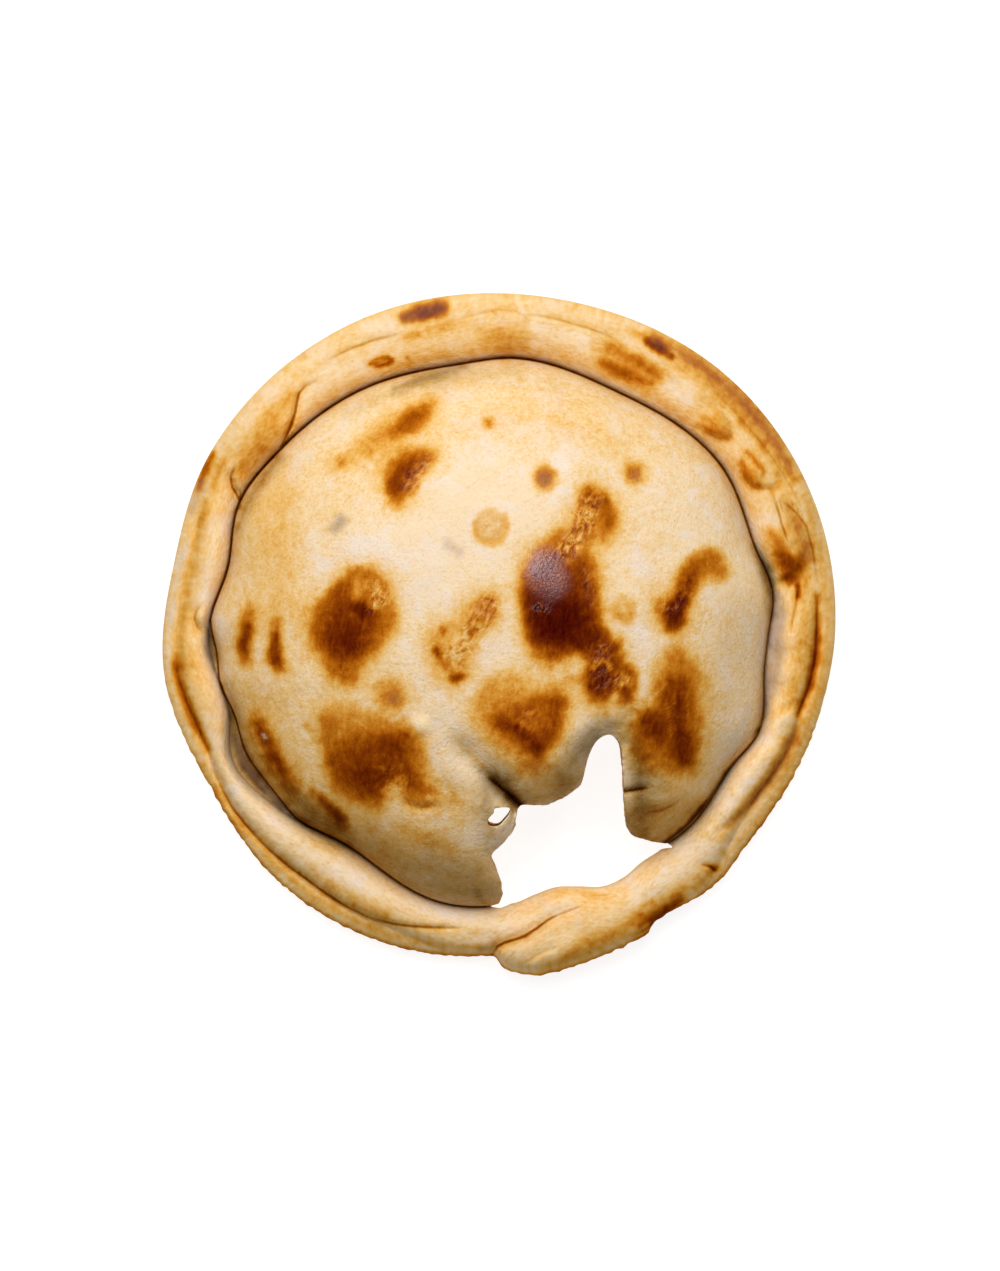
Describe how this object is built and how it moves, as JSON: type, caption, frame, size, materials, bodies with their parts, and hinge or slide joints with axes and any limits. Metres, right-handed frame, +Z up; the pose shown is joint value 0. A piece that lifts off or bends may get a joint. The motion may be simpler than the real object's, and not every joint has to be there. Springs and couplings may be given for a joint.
{
  "type": "empanada",
  "caption": "Round baked empanada: a domed dough pocket with a folded, pleated rim, scorched spots and a torn mouth at its front.",
  "frame": {"origin": "middle of the flat base, under the middle of the plan outline", "axes": "+Z up, -Y towards the torn mouth and the crossing ends of the rim, +X to the right as seen from above with the mouth at the bottom"},
  "size_m": [0.1276, 0.1292, 0.036],
  "materials": {
    "dough": "baked dough, satin, with glossy scorched spots"
  },
  "bodies": {
    "root": {"dough_pocket": "dough"}
  },
  "joints": []
}
